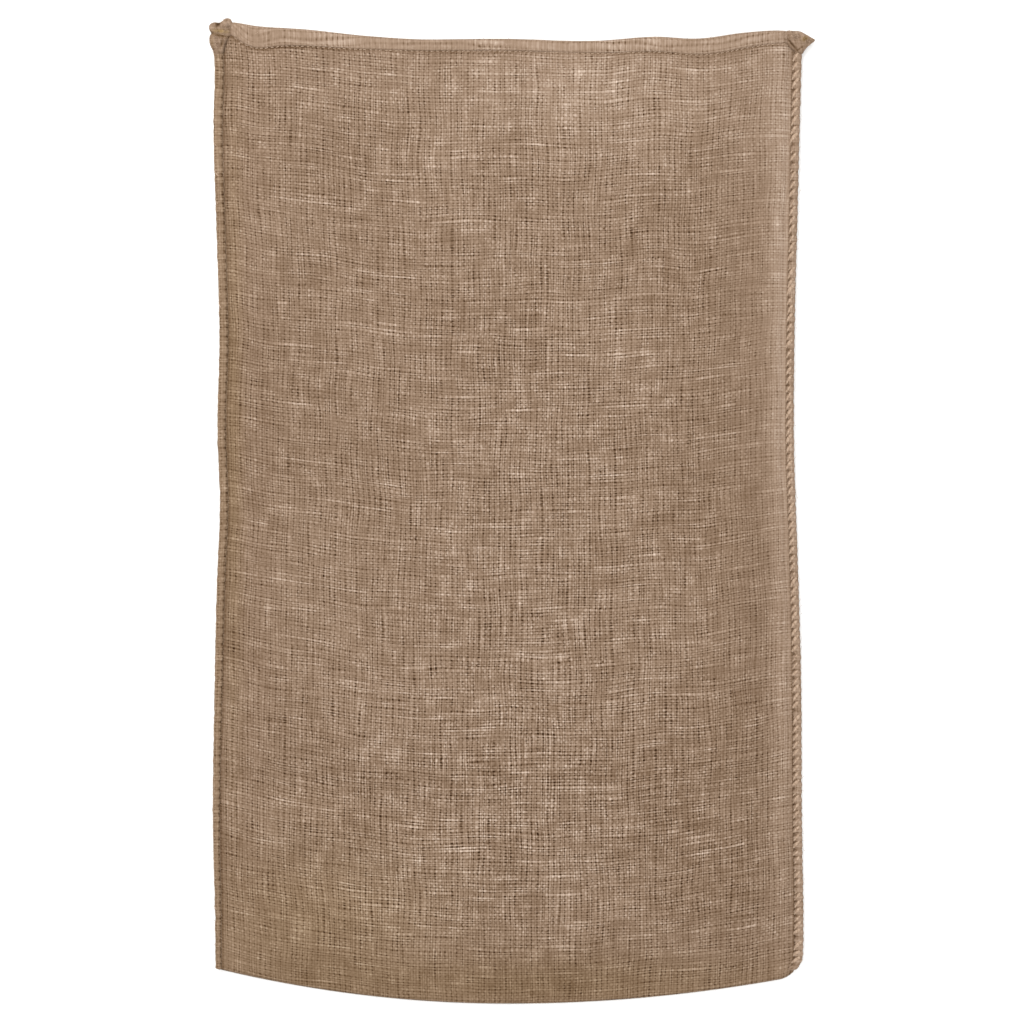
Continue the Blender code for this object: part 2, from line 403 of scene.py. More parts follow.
def laid_sheet(name, columns, rows, lay):
    """A grid laid in shape. lay takes the grid's 0 to 1 each way, and gives each point's place,
    its place on the cloth in metres, and its looks: tone, weave and ochre."""
    bpy.ops.object.select_all(action="DESELECT")
    bpy.ops.mesh.primitive_grid_add(x_subdivisions=columns, y_subdivisions=rows, size=1.0)
    piece = bpy.context.object
    piece.name = name
    mesh = piece.data
    mesh.name = name
    grid = np.empty(len(mesh.vertices) * 3)
    mesh.vertices.foreach_get("co", grid)
    grid = grid.reshape(-1, 3)
    places, on_cloth, looks = lay(grid[:, 0] + 0.5, grid[:, 1] + 0.5)
    mesh.vertices.foreach_set("co", np.asarray(places, float).ravel())
    corners = np.empty(len(mesh.loops), int)
    mesh.loops.foreach_get("vertex_index", corners)
    mesh.uv_layers[0].name = "on_cloth"
    mesh.uv_layers[0].data.foreach_set("uv", np.asarray(on_cloth)[corners].ravel())
    for label, values in looks.items():
        values = np.broadcast_to(values, len(mesh.vertices)).astype(float)
        mesh.attributes.new(label, "FLOAT", "POINT").data.foreach_set("value", values)
    bpy.ops.object.mode_set(mode="EDIT")
    bpy.ops.mesh.select_all(action="SELECT")
    bpy.ops.mesh.remove_doubles(threshold=0.00001)
    bpy.ops.mesh.normals_make_consistent(inside=False)
    bpy.ops.object.mode_set(mode="OBJECT")
    bpy.ops.object.shade_smooth()
    return piece


def lay_cloth(around, along):
    """The front from the left seam to the right, then the back from the right to the left."""
    is_back = around > 0.5
    share_across = crowded(np.where(is_back, 2 - 2 * around, 2 * around), CROWDED_ACROSS)
    share_up = crowded(along, CROWDED_UP) * (1 - TUCKED_IN_HEM / LENGTH)
    from_left = INSIDE_SEAM + share_across * 2 * (HALF_WIDTH - INSIDE_SEAM)
    from_seam = np.minimum(from_left, 2 * HALF_WIDTH - from_left)
    from_fold = share_up * LENGTH
    across = from_left / HALF_WIDTH - 1
    from_hem = LENGTH * (1 - share_up) - curve(HEM_DEPTH, across)
    out, up = plan(across, share_up)

    # Both panels round off into the fold, and the hem's stitches draw a groove into the front.
    rounding = np.sqrt(1 - (1 - np.minimum(1.0, from_fold / EDGE_ROUND)) ** 2)
    groove = line_at(from_hem, HEM_GROOVE_REACH)
    groove = groove * smooth_step((from_seam - SEAM_WIDTH) / HEM_GROOVE_FADE)
    top = EDGE_RISE + (front_height(out, up, from_seam, from_fold) - EDGE_RISE) * rounding
    top = top - HEM_GROOVE_DEPTH * groove
    sunk = SEAM_MIDDLE * np.clip(1 - (from_seam - INSIDE_SEAM) / SEAM_LIFT_RUN, 0.0, 1.0)
    under = np.maximum(EDGE_RISE * (1 - rounding), sunk)
    height = np.where(is_back, np.minimum(under, BACK_EDGE_TOP), top)

    # Painted shade: dark lines are painted beside each rolled edge and under the hem, in the crease
    # and under the step where shade falls. There the weave is also drawn shut, so its gaps show
    # less.
    from_line = {}
    for side in (-1, 1):
        from_line[side] = from_seam - 2 * curve(ROLL_HALF_WIDTHS[side], up) - LINE_GAP[side]
    beside_roll = np.where(
        across < 0,
        LINE_SHARE[-1] * line_at(from_line[-1], SEAM_LINE_REACH),
        LINE_SHARE[1] * line_at(from_line[1], SEAM_LINE_REACH),
    )
    under_hem = line_at(from_hem - HEM_LINE_BELOW, HEM_LINE_REACH)
    tone = spots(TONE_AND_SHADE_PATCHES, out, up) - SEAM_LINE_SHADE * beside_roll
    tone = tone - HEM_LINE_SHADE * under_hem * curve(HEM_LINE, across)
    sewn = np.maximum(under_hem, line_at(from_seam**2, SEWN_REACH**2))
    weave = (OPEN_WEAVE + spots(OPENNESS, out, up)) * (1 - SEWN_CLOSED * sewn)

    places = np.column_stack([out - MIDDLE_OUT, up - MIDDLE_UP, height])
    on_cloth = np.column_stack([across * HALF_WIDTH, np.where(is_back, -from_fold, from_fold)])
    return places, on_cloth, {"tone": tone, "weave": weave, "ochre": spots(OCHRE, out, up)}


sack = laid_sheet("sack_cloth_sheet", *GRID_CELLS, lay_cloth)
sack.modifiers.new("wall", "SOLIDIFY")
sack.modifiers["wall"].thickness = CLOTH_THICKNESS
sack.modifiers["wall"].offset = -1.0
bpy.ops.object.modifier_apply(modifier="wall")

# Hessian: undyed jute, spun thick and uneven and woven open. The threads' tops are painted paler, as
# painted light, and the gaps between them are painted dark, as painted shade. This gives it a
# speckled grid, broken by stray thick pale threads.
WARP_PAIR_MM = 5.4  # the warp lies in pairs, with a wider gap between them
WEFT_MM = 3.0
# Painted shade: a gap is painted dark, as the shade that falls into it.
GAP_EDGE_MM = 0.42  # over this a gap's edge turns dark
OCHRE_TINT = "#f6f2c8"
PLAIN_JUTE = 0.318  # where plain jute lies among the tones
# Painted light: a thread's crown is painted paler than its sides.
CROWN_PAINTED_LIGHT = 0.17  # and how much paler a thread's crown is
HESSIAN_TONES = (  # (tone, colour)
    (0.00, "#281504"),
    (0.25, "#5c4734"),
    (0.50, "#86715f"),
    (0.75, "#aa9787"),
    (1.00, "#ccb9a9"),
)

hessian, shader = start_material("hessian")
flat_mm = add("UVMap", uv_map="on_cloth")
flat_mm = add("VectorMath", flat_mm, (1000.0, 1000.0, 0.0), operation="MULTIPLY")

# Uneven patches over the cloth: threads that crowd together, tighter stretches and its tint.
patches = {}
for name, scale, detail, roughness in (
    ("crowd_out", (1 / 7, 1 / 130, 0.0), 1.0, 0.5),
    ("crowd_up", (1 / 140, 1 / 7, 0.0), 1.0, 0.5),
    ("patchy", (1 / 17, 1 / 14, 0.0), 3.0, 0.6),
    ("tint", (1 / 120, 1 / 120, 0.0), 3.0, 0.6),
):
    scaled = add("VectorMath", flat_mm, scale, operation="MULTIPLY")
    patches[name] = add("TexNoise", scaled, None, 1.0, detail, roughness)

# The threads drift slowly across the cloth, and lie closer in one place than in the next.
drift = add("VectorMath", flat_mm, (1 / 85, 1 / 70, 0.0), operation="MULTIPLY")
drift = add("TexNoise", drift, None, 1.0, 1.0, 0.45, out=1)
drift = add("VectorMath", drift, (6.0, 8.0, 0.0), (-3.0, -4.0, 0.0), operation="MULTIPLY_ADD")
crowd = add("CombineXYZ", patches["crowd_out"], patches["crowd_up"], 0.0)
crowd = add("VectorMath", crowd, (4.8, 4.4, 0.0), operation="MULTIPLY")
wobble = add("VectorMath", flat_mm, (1 / 9, 1 / 8, 0.0), operation="MULTIPLY")
wobble = add("TexNoise", wobble, None, 1.0, 1.0, 0.5, out=1)
wobble = add("VectorMath", wobble, (0.8, 0.7, 0.0), crowd, operation="MULTIPLY_ADD")
woven = add("VectorMath", drift, wobble, operation="ADD")
woven = add("VectorMath", flat_mm, woven, operation="ADD")
thread = add("VectorMath", woven, (WARP_PAIR_MM, WEFT_MM, 1.0), operation="DIVIDE")
at = add("SeparateXYZ", woven).node.outputs
count = add("SeparateXYZ", thread).node.outputs

# How far it is from the nearest gap between warp pairs, within a pair, and between wefts.
pair_gap = add("Math", count[0], 0.5, operation="PINGPONG")
pair_gap = add("Math", pair_gap, WARP_PAIR_MM, operation="MULTIPLY")
inner_gap = add("Math", WARP_PAIR_MM / 2, pair_gap, operation="SUBTRACT")
weft_gap = add("Math", count[1], 0.5, operation="PINGPONG")
weft_gap = add("Math", weft_gap, WEFT_MM, operation="MULTIPLY")

# Each gap opens and closes, and each thread swells and thins, along its own length. A few wefts,
# and fewer warps, are thick and pale for a finger's length.
pair_number = add("Math", count[0], 0.5, operation="ADD")
pair_number = add("Math", pair_number, operation="FLOOR")
row_number = add("Math", count[1], 0.5, operation="ADD")
row_number = add("Math", row_number, operation="FLOOR")
warp_number = add("Math", count[0], 2.0, operation="MULTIPLY")
warp_number = add("Math", warp_number, operation="FLOOR")
weft_number = add("Math", count[1], operation="FLOOR")
spun = {}
for name, number, apart, length_mm, layer, roughness in (
    ("warp_pair_open", pair_number, 7.31, 24, 0.0, 0.6),
    ("weft_row_open", row_number, 5.17, 22, 4.0, 0.6),
    ("warp_spun", warp_number, 3.73, 20, 8.0, 0.65),
    ("weft_spun", weft_number, 4.41, 26, 12.0, 0.65),
    ("weft_slub", weft_number, 6.83, 85, 20.0, 0.5),
    ("warp_slub", warp_number, 5.59, 34, 24.0, 0.5),
):
    runs_up = name.startswith("warp")
    own = add("Math", number, apart, operation="MULTIPLY")
    along = add("Math", at[1 if runs_up else 0], 1 / length_mm, operation="MULTIPLY")
    place = add("CombineXYZ", *((own, along) if runs_up else (along, own)), layer)
    spun[name] = add("TexNoise", place, None, 1.0, 2.0, roughness)

pair_half = add("MapRange", spun["warp_pair_open"], 0.30, 0.70, 0.25, 1.00)
row_half = add("MapRange", spun["weft_row_open"], 0.30, 0.70, 0.15, 0.65)
in_pair_gap = add("Math", pair_gap, pair_half, operation="SUBTRACT")
in_pair_gap = add("MapRange", in_pair_gap, -GAP_EDGE_MM, GAP_EDGE_MM, 1.0, 0.0)
in_row_gap = add("Math", weft_gap, row_half, operation="SUBTRACT")
in_row_gap = add("MapRange", in_row_gap, -GAP_EDGE_MM, GAP_EDGE_MM, 1.0, 0.0)
in_inner_gap = add("MapRange", inner_gap, 0.15, 0.70, 1.0, 0.0)
hole = add("Math", in_pair_gap, in_row_gap, operation="MULTIPLY")

# The warp is on top where warp and weft numbers agree, and the weft where they differ.
wave_out = add("Math", count[0], 2 * pi, operation="MULTIPLY")
wave_out = add("Math", wave_out, operation="SINE")
wave_up = add("Math", count[1], pi, operation="MULTIPLY")
wave_up = add("Math", wave_up, operation="SINE")
crossing = add("Math", wave_out, wave_up, operation="MULTIPLY")
warp_shows = add("MapRange", crossing, -0.2, 0.2, 0.0, 1.0)

# Fibres along each thread, fuzz over them, and fine lines that run past many crossings.
for name, scale, detail in (
    ("warp_fibre", (2.6, 0.40, 0.0), 2.0),
    ("weft_fibre", (0.40, 2.6, 0.0), 2.0),
    ("fuzz", (0.55, 0.62, 0.0), 2.0),
    ("warp_line", (0.80, 1 / 40, 0.0), 1.0),
    ("weft_line", (1 / 44, 0.80, 0.0), 1.0),
):
    scaled = add("VectorMath", woven, scale, operation="MULTIPLY")
    spun[name] = add("TexNoise", scaled, None, 1.0, detail, 0.6)
fibre = add("Mix", warp_shows, None, spun["weft_fibre"], spun["warp_fibre"])
spun_top = add("Mix", warp_shows, None, spun["weft_spun"], spun["warp_spun"])

weft_body = add("MapRange", weft_gap, 0.35, 0.95, 0.0, 1.0)
weft_slub = add("MapRange", spun["weft_slub"], 0.575, 0.655, 0.0, 1.0)
weft_slub = add("Math", weft_slub, weft_body, operation="MULTIPLY")
warp_body = add("MapRange", inner_gap, 0.2, 0.8, 0.0, 1.0)
warp_sides = add("MapRange", pair_gap, 0.4, 1.0, 0.0, 1.0)
warp_body = add("Math", warp_body, warp_sides, operation="MULTIPLY")
warp_slub = add("MapRange", spun["warp_slub"], 0.64, 0.76, 0.0, 1.0)
warp_slub = add("Math", warp_slub, warp_body, operation="MULTIPLY")
warp_slub = add("Math", warp_slub, 0.8, operation="MULTIPLY")
slub = add("Math", weft_slub, warp_slub, operation="MAXIMUM")

# Flecks of dark bark are spun in here and there.
fleck = add("VectorMath", woven, (1 / 13, 1 / 11, 0.0), operation="MULTIPLY")
fleck = add("TexVoronoi", fleck, None, 1.0).node.outputs
fleck_kept = add("SeparateXYZ", fleck["Color"])
fleck_kept = add("Math", fleck_kept, 0.55, operation="GREATER_THAN")
fleck = add("MapRange", fleck["Distance"], 0.04, 0.10, 1.0, 0.0)
fleck = add("Math", fleck, fleck_kept, operation="MULTIPLY")

# How much paler or darker than plain jute each of these is, all together. The holes and gaps are
# painted shade, the crowns are painted light, and the crossing paints the warp's floats darker and
# the weft's paler as painted light and shade. The fibres, lines, slubs and flecks are the yarn's own
# colour.
shade = CROWN_PAINTED_LIGHT
for source, paler in (
    (hole, -0.36),
    (in_pair_gap, -0.17),
    (in_row_gap, -0.21),
    (in_inner_gap, -0.14),
    (crossing, -0.08),
):
    shade = add("Math", source, paler, shade, operation="MULTIPLY_ADD")
for source, low, high, darkest, paler in (
    (fibre, 0.25, 0.75, -0.50, 0.20),
    (spun["fuzz"], 0.25, 0.75, -0.50, 0.20),
    (spun["warp_line"], 0.25, 0.75, -0.28, 0.36),
    (spun["weft_line"], 0.25, 0.75, -0.28, 0.34),
    (spun_top, 0.30, 0.70, -0.50, 0.10),
):
    source = add("MapRange", source, low, high, darkest, 0.5)
    shade = add("Math", source, paler, shade, operation="MULTIPLY_ADD")
shade = add("Math", slub, 0.15, shade, operation="MULTIPLY_ADD")
shade = add("Math", fleck, -0.30, shade, operation="MULTIPLY_ADD")

# Some stretches are woven tighter, so that their gaps hardly show.
weave = add("Attribute", attribute_name="weave", out=2)
openness = add("MapRange", patches["patchy"], 0.30, 0.66, 0.38, 1.20)
openness = add("Math", openness, weave, operation="MULTIPLY")
tint = add("MapRange", patches["tint"], 0.3, 0.7, -0.03, 0.03)
tone = add("Attribute", attribute_name="tone", out=2)
level = add("Math", shade, openness, PLAIN_JUTE, operation="MULTIPLY_ADD")
level = add("Math", level, tint, operation="ADD")
level = add("Math", level, tone, operation="ADD")
ramp = add("ValToRGB", level).node
while len(ramp.color_ramp.elements) < len(HESSIAN_TONES):
    ramp.color_ramp.elements.new(0.5)
for element, (position, code) in zip(ramp.color_ramp.elements, HESSIAN_TONES):
    element.position = position
    element.color = linear(code)
ochre = add("Attribute", attribute_name="ochre", out=2)
yellowed = add("MixRGB", ochre, ramp.outputs[0], linear(OCHRE_TINT), blend_type="MULTIPLY")
tree.links.new(yellowed, shader.inputs["Base Color"])
relief = add("Math", shade, openness, operation="MULTIPLY")
tree.links.new(add("Bump", 0.7, 0.0009, None, relief), shader.inputs["Normal"])
shader.inputs["Roughness"].default_value = 0.88
shader.inputs["Specular IOR Level"].default_value = 0.06
shader.inputs["Sheen Weight"].default_value = 0.02
shader.inputs["Sheen Roughness"].default_value = 0.6
sack.data.materials.append(hessian)
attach(sack, "root")
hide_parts("sack_cloth")

# ---------------------------------------------------------------------------------------------
# The mouth hem. The cloth's top edge is turned in twice and sewn down, which makes a paler and
# thicker band round the mouth. The back's band shows in places over the front's.
HEM_SPAN = 0.985  # the bands end this share of the way out to the seams' edges
HEM_HALF_THICKNESS = 0.0014
HEM_WAVES = 0.0004
HEM_WAVE_SIZE = 0.020
HEM_PUCKER = 0.12
HEM_PUCKER_SIZE = 0.006
FRONT_HEM_SINKS = 0.0006
BACK_HEM_HEIGHT = 0.0021
HEM_EDGE = 0.0016  # how far its darker edges reach in
# Painted shade: the band is painted darker along its upper and lower edges, where it rounds away.
HEM_EDGE_SHADE = -0.06
HEM_MOTTLE = 0.05
HEM_MOTTLE_SIZE = 0.004
HEM_TONE = 0.135
BACK_HEM_TONE = 0.055
BACK_HEM_OCHRE = 0.35
HEM_WEAVE = 0.38
BACK_SHOWS = (  # (ACROSS, how far the back's band stands past the front's)
    (-1.00, 0.0),
    (-0.92, 0.0008),
    (-0.80, 0.0016),
    (-0.66, 0.0010),
    (-0.55, 0.0005),
    (-0.30, 0.0),
    (-0.20, 0.0008),
    (0.00, 0.0014),
    (0.18, 0.0010),
    (0.30, 0.0),
    (0.55, -0.0005),
    (0.66, 0.0008),
    (0.80, 0.0014),
    (0.93, 0.0008),
    (1.00, 0.0),
)
HEM_TICKS = (  # (OUT, UP, reach out, reach up, how openly the band's weave shows)
    (-0.024, 0.977, 0.016, 0.02, 0.55),
    (0.104, 0.977, 0.012, 0.02, 0.45),
    (0.145, 0.977, 0.012, 0.02, 0.40),
    (-0.180, 0.985, 0.020, 0.02, 0.25),
    (0.260, 0.985, 0.020, 0.02, 0.25),
)


def lay_hem(is_back):
    """The band, laid round its flat section and along from the left seam to the right."""

    def lay(around, along):
        turn = around * 2 * pi
        across = (along * 2 - 1) * HEM_SPAN
        depth = curve(HEM_DEPTH, across)
        ends = np.sqrt(np.clip(1 - np.abs(along * 2 - 1) ** 60, 0.0, 1.0))
        flat = np.sign(np.cos(turn)) * np.abs(np.cos(turn)) ** 0.55
        swell = np.sign(np.sin(turn)) * np.abs(np.sin(turn)) ** 0.75
        below = depth / 2 * (1 + flat * ends)
        shows = curve(BACK_SHOWS, across) if is_back else 0.0
        out, up = plan(across, 1 - (below - shows) / LENGTH)

        if is_back:
            middle = BACK_HEM_HEIGHT
        else:
            from_seam = HALF_WIDTH * (1 - np.abs(across))
            middle_out, middle_up = plan(across, 1 - depth / 2 / LENGTH)
            middle = front_height(middle_out, middle_up, from_seam, np.full_like(out, LENGTH))
            waves = crumple(out, np.full_like(up, 3.0), HEM_WAVE_SIZE, 5.0)
            middle += HEM_WAVES * waves - FRONT_HEM_SINKS
        pucker = 1 + HEM_PUCKER * crumple(out, up, HEM_PUCKER_SIZE, 2.0)
        height = middle + swell * HEM_HALF_THICKNESS * ends * pucker

        # Painted shade along both rounded edges of the band.
        upper_edge = np.clip(1 - below / HEM_EDGE, 0.0, 1.0)
        lower_edge = smooth_step((below - depth + HEM_EDGE) / HEM_EDGE)
        tone = HEM_EDGE_SHADE * (upper_edge + lower_edge)
        tone = tone + HEM_MOTTLE * crumple(out, up, HEM_MOTTLE_SIZE, 7.0)
        tone = tone + (BACK_HEM_TONE if is_back else HEM_TONE)
        weave = HEM_WEAVE + spots(HEM_TICKS, out, up)
        places = np.column_stack([out - MIDDLE_OUT, up - MIDDLE_UP, height])
        on_cloth = np.column_stack([across * HALF_WIDTH, LENGTH + around * 2 * depth])
        ochre = BACK_HEM_OCHRE if is_back else 0.0
        return places, on_cloth, {"tone": tone, "weave": weave, "ochre": ochre}

    return lay


for name, is_back in (("front_hem", False), ("back_hem", True)):
    hem = laid_sheet(name, 20, 320, lay_hem(is_back))
    hem.data.materials.append(hessian)
    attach(hem, "root")

# ---------------------------------------------------------------------------------------------
# The rolled seams. Up each side the two cut edges are rolled together into a bead, which the
# yarn pinches at every stitch. The right one is pinched harder, so its inner side is scalloped.
ROLL_HALF_HEIGHT = 0.0024
ROLL_CENTRE_HEIGHT = 0.0036
SEAM_FOOT_UP = 0.0340
SEAM_HEAD_UP = 0.9760
ROLL_WANDER = 0.0004
ROLL_LUMPS = 0.08
ROLL_MOTTLE_AND_LUMP_LIGHT = 0.05
ROLL_SWELL_LIGHT_AND_SHADE = 0.35
ROLL_UNDER_SHADE = -0.10
ROLL_INNER_SHADE = -0.06
# The last column is painted shade in the needle holes, on the inner side of each pinch.
SEAMS = (  # (name, side, stitch pitch at foot and head, pinch, tone, weave, ochre, hole's tone)
    ("left", -1, 0.0072, 0.0100, 0.07, 0.04, 0.50, 0.20, -0.24),
    ("right", 1, 0.0066, 0.0094, 0.16, 0.10, 0.40, 0.00, -0.26),
)


def climb(low, high, up):
    """A value that grows from low at a seam's foot to high at its head, fastest near the foot."""
    share = np.clip((up - SEAM_FOOT_UP) / (SEAM_HEAD_UP - SEAM_FOOT_UP), 0.0, 1.0)
    return low + (high - low) * share**0.5


def stitch_count(low, high, up):
    """How many stitches there are from a seam's foot to a height, whole at each needle hole."""
    steps = np.linspace(SEAM_FOOT_UP, SEAM_HEAD_UP, 400)
    counts = np.cumsum(np.diff(steps, prepend=SEAM_FOOT_UP) / climb(low, high, steps))
    return np.interp(up, steps, counts)


def seam_line(side, up, inward):
    """A line up a side, inward from the outline, which follows the round corner at the bottom."""
    edge = curve(LEFT_EDGE if side < 0 else RIGHT_EDGE, up)
    if side > 0:
        above = np.clip((up - fold_up(np.ones(1))) / RIGHT_CORNER_RADIUS, 0.0, 1.0)
        edge = edge - RIGHT_CORNER_RADIUS * (1 - np.sqrt(1 - (1 - above) ** 2)) * 0.9
    wander = ROLL_WANDER * np.array([noise.noise((u / 0.012, side * 3.0, 1.0)) for u in up])
    return side * (edge - inward + wander)


def lay_roll(side, pitches, pinch, base_tone, weave, ochre, hole_shade):
    """A seam's bead, laid round its section and along from the foot to the head."""

    def lay(around, along):
        turn = around * 2 * pi
        up = SEAM_FOOT_UP + along * (SEAM_HEAD_UP - SEAM_FOOT_UP)
        ends = np.sqrt(np.clip(1 - np.abs(along * 2 - 1) ** 900, 0.0, 1.0))
        half_width = curve(ROLL_HALF_WIDTHS[side], up)
        swell = -np.cos(2 * pi * stitch_count(*pitches, up))
        uneven = np.array([noise.noise((u / 0.007, side, 6.0)) for u in up])
        inner = np.clip(-side * np.cos(turn), 0.0, 1.0)
        size = (1 + pinch * swell * (0.4 + inner) + ROLL_LUMPS * uneven) * ends
        middle = seam_line(side, up, half_width + ROLL_INSET)
        out = middle + np.cos(turn) * half_width * size
        up = np.maximum(up, fold_up(out / HALF_WIDTH) + 0.0002)
        height = ROLL_CENTRE_HEIGHT + np.sin(turn) * ROLL_HALF_HEIGHT * size
        # Painted light and shade: the bead is painted paler where it swells between stitches and
        # darker where the yarn pinches it. It is darker on its underside and inner side, and darkest
        # in the needle holes. Its mottle follows the same lumps as its size, so the lumps are
        # painted paler too.
        tone = base_tone + ROLL_MOTTLE_AND_LUMP_LIGHT * uneven + ROLL_SWELL_LIGHT_AND_SHADE * pinch * swell
        tone = tone + ROLL_UNDER_SHADE * (np.sin(turn) < 0) + ROLL_INNER_SHADE * inner**3
        tone = tone + hole_shade * inner**1.5 * np.clip(-swell, 0.0, 1.0) ** 3
        places = np.column_stack([out - MIDDLE_OUT, up - MIDDLE_UP, height])
        on_cloth = np.column_stack([around * 0.026 + side * 0.4, up])
        return places, on_cloth, {"tone": tone, "weave": weave, "ochre": ochre}

    return lay


for name, side, low_pitch, high_pitch, *looks in SEAMS:
    shape = lay_roll(side, (low_pitch, high_pitch), *looks)
    roll = laid_sheet(f"{name}_seam_roll", 16, 640, shape)
    roll.data.materials.append(hessian)
    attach(roll, "root")

# ---------------------------------------------------------------------------------------------
# The overcast yarn. One jute yarn up each side is wound round the rolled seam, through a needle
# hole on its inner side at each turn, so that it slants across the front.
YARN_PLIES_MM = 3.4  # one turn of the yarn's twist
YARN_TONES = (  # (tone, colour)
    (0.0, "#65503d"),
    (0.5, "#9a836f"),
    (1.0, "#c4af9c"),
)
POINTS_A_TURN = 18
RISING = 1.45  # how many pitches the yarn climbs as it crosses the front
FALLING = 0.45  # and how many it comes back by on its way round the back
YARN_WANDER = 0.0034
HOLE_REACH = 0.0008
HOLE_DEPTH = 0.0010
OVERCASTS = {  # yarn radius, how far it bulges, how far in it lies, its reach as a share
    "left": (0.0006, -1.3, 0.0, 0.86),
    "right": (0.0017, -0.75, 0.0010, 0.62),
}

jute_yarn, shader = start_material("jute_yarn")
# Jute yarn: two plies twisted together. The groove between them is painted darker in slanted lines,
# as painted shade.
spot = add("SeparateXYZ", add("UVMap", uv_map="UVMap")).node
turns = add("Math", spot.outputs[0], 1000 / YARN_PLIES_MM, operation="MULTIPLY")
lay_angle = add("Math", turns, spot.outputs[1], operation="ADD")
ply = add("Math", add("Math", lay_angle, 2 * pi, operation="MULTIPLY"), operation="SINE")
ply = add("MapRange", ply, -1.0, 1.0, 0.0, 1.0)
object_place = add("TexCoord", out=3)
hairs = add("VectorMath", object_place, (900.0, 900.0, 900.0), operation="MULTIPLY")
hairs = add("TexNoise", hairs, None, 1.0, 3.0, 0.6)
hairs = add("MapRange", hairs, 0.25, 0.75, 0.25, 0.80)
level = add("Math", add("MapRange", ply, 0.0, 0.5, -0.12, 0.05), hairs, operation="ADD")
ramp = add("ValToRGB", level).node
ramp.color_ramp.elements.new(0.5)
for element, (position, code) in zip(ramp.color_ramp.elements, YARN_TONES):
    element.position = position
    element.color = linear(code)
tree.links.new(ramp.outputs[0], shader.inputs["Base Color"])
tree.links.new(add("Bump", 0.5, 0.0002, None, ply), shader.inputs["Normal"])
shader.inputs["Roughness"].default_value = 0.85
shader.inputs["Specular IOR Level"].default_value = 0.10


def strands(name, paths, thicknesses, bevel_resolution):
    """Yarns or fibres as one mesh of round strands, with the length along each for its twist.
    thicknesses holds a radius for each point of each path."""
    line = bpy.data.curves.new(name, "CURVE")
    line.dimensions = "3D"
    line.bevel_depth = 1.0
    line.bevel_resolution = bevel_resolution
    line.use_fill_caps = True
    total = 0.0
    for path, thickness in zip(paths, thicknesses):
        spline = line.splines.new("POLY")
        spline.points.add(len(path) - 1)
        spline.points.foreach_set("co", np.column_stack([path, np.ones(len(path))]).ravel())
        spline.points.foreach_set("radius", np.broadcast_to(thickness, len(path)).astype(float))
        total += np.linalg.norm(np.diff(path, axis=0), axis=1).sum()
    piece = bpy.data.objects.new(name, line)
    bpy.context.scene.collection.objects.link(piece)
    bpy.ops.object.select_all(action="DESELECT")
    piece.select_set(True)
    bpy.context.view_layer.objects.active = piece
    bpy.ops.object.convert(target="MESH")
    piece = bpy.context.object
    piece.data.name = name
    corners = piece.data.uv_layers[0].data
    on_yarn = np.empty(len(corners) * 2)
    corners.foreach_get("uv", on_yarn)
    on_yarn[::2] *= total / len(paths)
    corners.foreach_set("uv", on_yarn)
    bpy.ops.object.mode_set(mode="EDIT")
    bpy.ops.mesh.select_all(action="SELECT")
    bpy.ops.mesh.remove_doubles(threshold=0.000001)
    bpy.ops.mesh.normals_make_consistent(inside=False)
    bpy.ops.object.mode_set(mode="OBJECT")
    bpy.ops.object.shade_smooth()
    return piece


for name, side, low_pitch, high_pitch, *_ in SEAMS:
    radius, bulge, set_in, reach_share = OVERCASTS[name]
    ups = np.linspace(SEAM_FOOT_UP + 0.004, SEAM_HEAD_UP - 0.004, 600)
    counts = stitch_count(low_pitch, high_pitch, ups)
    turn = np.arange(np.ceil(counts[0]), np.floor(counts[-1]), 1 / POINTS_A_TURN)
    within = turn % 1.0
    angle = pi * (1 - 2 * within)
    back_down = RISING - (within - 0.5) * 2 * FALLING
    climbed = np.where(within < 0.5, within * 2 * RISING, back_down)
    up = np.interp(np.floor(turn) + climbed, counts, ups)
    uneven = np.array([noise.noise((float(t) * 1.3, side, 2.0)) for t in turn])
    up = up + YARN_WANDER * uneven
    half_width = curve(ROLL_HALF_WIDTHS[side], up)
    thickness = radius * (0.35 + 0.65 * np.clip(np.sin(angle), 0.0, 1.0) ** 0.7)
    thickness = thickness * (1 + 0.5 * uneven)
    at_hole = np.clip(-np.cos(angle), 0.0, 1.0) ** 6
    middle = side * seam_line(side, up, half_width + ROLL_INSET + set_in)
    reach = half_width * (reach_share + 0.30 * uneven) + HOLE_REACH * at_hole
    out = side * (middle + np.cos(angle) * reach)
    height = ROLL_CENTRE_HEIGHT + np.sin(angle) * (ROLL_HALF_HEIGHT + radius * bulge)
    height = np.maximum(height - HOLE_DEPTH * at_hole, thickness + 0.0001)
    path = np.column_stack([out - MIDDLE_OUT, up - MIDDLE_UP, height])
    yarn = strands(f"{name}_seam_yarn", [path], [thickness], 2)
    yarn.data.materials.append(jute_yarn)
    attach(yarn, "root")

# ---------------------------------------------------------------------------------------------
# The hem's stitches. A row of short stitches of the same yarn, sunk in the line under the hem,
# holds it down on the front and on the back.
STITCH_PITCH = 0.0052
STITCH_LENGTH = 0.0034
STITCH_RADIUS = 0.00045
STITCH_BELOW = 0.0006  # how far under the hem's edge the row runs
STITCH_ARCH = 0.0006
STITCH_SINKS = 0.0008
STITCH_UNEVEN = 0.0006
STITCH_SLANTS = (-0.0008, 0.0014)
STITCH_TAPER = (0.6, 0.9, 1.0, 1.0, 1.0, 0.9, 0.6)
ROW_START = 0.022  # how far in from the left edge the row starts
ROW_END = 0.020  # and from the right edge it ends

